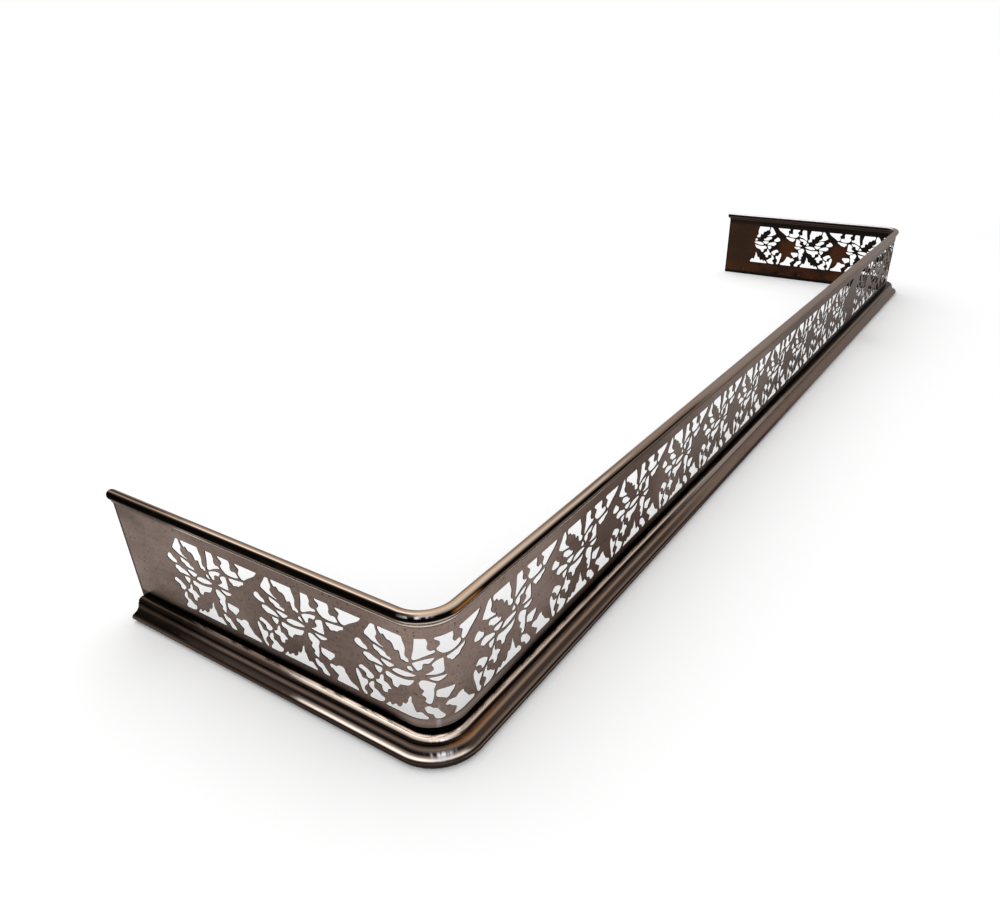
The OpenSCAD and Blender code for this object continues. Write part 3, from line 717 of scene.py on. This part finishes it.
def addRivets(name, node, materials, flush=False):
    mesh = bmesh.new()
    steps = 20
    shape = [(radius, -rivets[name]["seat"] - high) for radius, high in rivets["head"]]
    shape += rivets[name]["shank"]
    for along, up in placesOf(node):
        foot = Vector((*rollUp(along, 0), up))
        outward = (Vector((*rollUp(along, 1), up)) - foot).normalized()
        across = outward.cross(Vector((0, 0, 1)))
        rings = []
        for radius, out in shape:
            turns = [2 * math.pi * step / steps for step in range(steps)] if radius else [0]
            rings.append([mesh.verts.new(foot + outward * out * mm + across * radius * mm * math.cos(turn)
                                         + Vector((0, 0, radius * mm * math.sin(turn)))) for turn in turns])
        for first, second in zip(rings, rings[1:]):
            for i in range(steps):
                j = (i + 1) % steps
                corners = [first[i % len(first)], first[j % len(first)], second[j % len(second)],
                           second[i % len(second)]]
                face = mesh.faces.new(list(dict.fromkeys(corners)))
                face.material_index = 1 if flush and second is rings[-1] else 0
    bmesh.ops.recalc_face_normals(mesh, faces=mesh.faces)
    return addPiece(name, mesh, [node], materials)


fretSteel, fretInside, sawnEdge = fretFinish(), innerFinish(), edgeFinish()
railSteel, plinthSteel = railFinish(), plinthFinish()
darkIron = ironFinish("darkIron", (34, 27, 23), (66, 52, 43), 0.42, 0.6)
stripIron = ironFinish("stripIron", (24, 19, 16), (58, 49, 44), 0.4, 0.7)
rivetIron = ironFinish("rivetIron", (46, 34, 27), (96, 74, 58), 0.35, 0.7)
print("finishes mixed")

addFret("leftFret", "left_fret_sheet", [fretSteel, fretInside, sawnEdge])
addFret("rightFret", "right_fret_sheet", [fretSteel, fretInside, sawnEdge])
print("frets cut")

addPiece("topRail", sweep(railSection(), wall["rear"]), ["top_rail"], [railSteel], 50)
addDome("leftRailEnd", -1, "left_rail_cap", [railSteel])
addDome("rightRailEnd", 1, "right_rail_cap", [railSteel])
addPiece("plinthMoulding", sweep(plinthSection(), wall["rear"] - (plinth["short"] + plinth["end"]) * mm),
         ["plinth_moulding"], [plinthSteel], 40)
print("rail and plinth run round the wall")

addRivets("plinthRivets", "plinth_rivets", [rivetIron])
addRivets("seamRivets", "seam_rivets", [rivetIron, fretSteel], True)
print("rivets closed")

kept = dict(seam_strap=darkIron, rail_core=darkIron, base_strip=stripIron, base_rivets=rivetIron,
            left_plinth_end=plinthSteel, right_plinth_end=plinthSteel)
for name, material in kept.items():
    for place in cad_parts[name].material_slots:
        place.material = material

# ---- studio
studio = dict(worldLevel=0.8, floorSize=14, floorNear=0.95, floorFar=1.6, lamps=[
    dict(name="overhead", place=(0.3, 1.1, 1.9), aim=(0, 0, 0.05), size=2.6, power=24),
    dict(name="sideFill", place=(-1.9, -1.2, 1.5), aim=(-0.3, 0, 0.05), size=1.6, power=9)])


def addStudio():
    world = bpy.data.worlds.new("studio")
    bpy.context.scene.world = world
    world.use_nodes = True
    sky = world.node_tree.nodes["Background"]
    path = Wire(world.node_tree).node("ShaderNodeLightPath")
    seen = [Wire(world.node_tree, path.socket.node.outputs[key])
            for key in ("Is Camera Ray", "Is Glossy Ray", "Is Transmission Ray")]
    shown = seen[0].math("MAXIMUM", seen[0].math("MAXIMUM", seen[0], seen[1]), seen[2])
    level = studio["worldLevel"]
    color = shown.mix((level, level, level, 1), (1, 1, 1, 1))
    world.node_tree.links.new(color.socket, sky.inputs["Color"])
    for lamp in studio["lamps"]:
        data = bpy.data.lights.new(lamp["name"], "AREA")
        data.shape, data.size, data.energy = "SQUARE", lamp["size"], lamp["power"]
        lampObject = bpy.data.objects.new(lamp["name"], data)
        bpy.context.scene.collection.objects.link(lampObject)
        lampObject.location = lamp["place"]
        aim = Vector(lamp["aim"]) - Vector(lamp["place"])
        lampObject.rotation_euler = aim.to_track_quat("-Z", "Y").to_euler()


def addFloor():
    mesh = bmesh.new()
    bmesh.ops.create_grid(mesh, x_segments=1, y_segments=1, size=studio["floorSize"] / 2)
    data = bpy.data.meshes.new("floor")
    mesh.to_mesh(data)
    mesh.free()
    paint = bpy.data.materials.new("floorPaint")
    paint.use_nodes = True
    shader = paint.node_tree.nodes["Principled BSDF"]
    shader.inputs["Roughness"].default_value = 0.9
    shader.inputs["Specular IOR Level"].default_value = 0.0
    path = Wire(paint.node_tree).node("ShaderNodeLightPath")
    seen = [Wire(paint.node_tree, path.socket.node.outputs[key])
            for key in ("Is Camera Ray", "Is Glossy Ray")]
    shown = seen[0].math("MAXIMUM", seen[0], seen[1])
    color = shown.mix((0.6, 0.6, 0.6, 1), (0.95, 0.95, 0.95, 1))
    paint.node_tree.links.new(color.socket, shader.inputs["Base Color"])
    place = path.node("ShaderNodeTexCoord", out=3)
    away = place.node("ShaderNodeVectorMath", {"operation": "LENGTH"}, {0: place}, out=1)
    white = path.node("ShaderNodeEmission", None, {"Color": (1, 1, 1, 1)})
    blend = path.node("ShaderNodeMixShader", None,
                      {0: shown * away.rise(studio["floorNear"], studio["floorFar"]), 2: white})
    paint.node_tree.links.new(shader.outputs[0], blend.socket.node.inputs[1])
    paint.node_tree.links.new(blend.socket, paint.node_tree.nodes["Material Output"].inputs["Surface"])
    data.materials.append(paint)
    floor = bpy.data.objects.new("floor", data)
    bpy.context.scene.collection.objects.link(floor)


addStudio()
addFloor()
bpy.context.scene.view_settings.view_transform = "Standard"
print("studio lit")
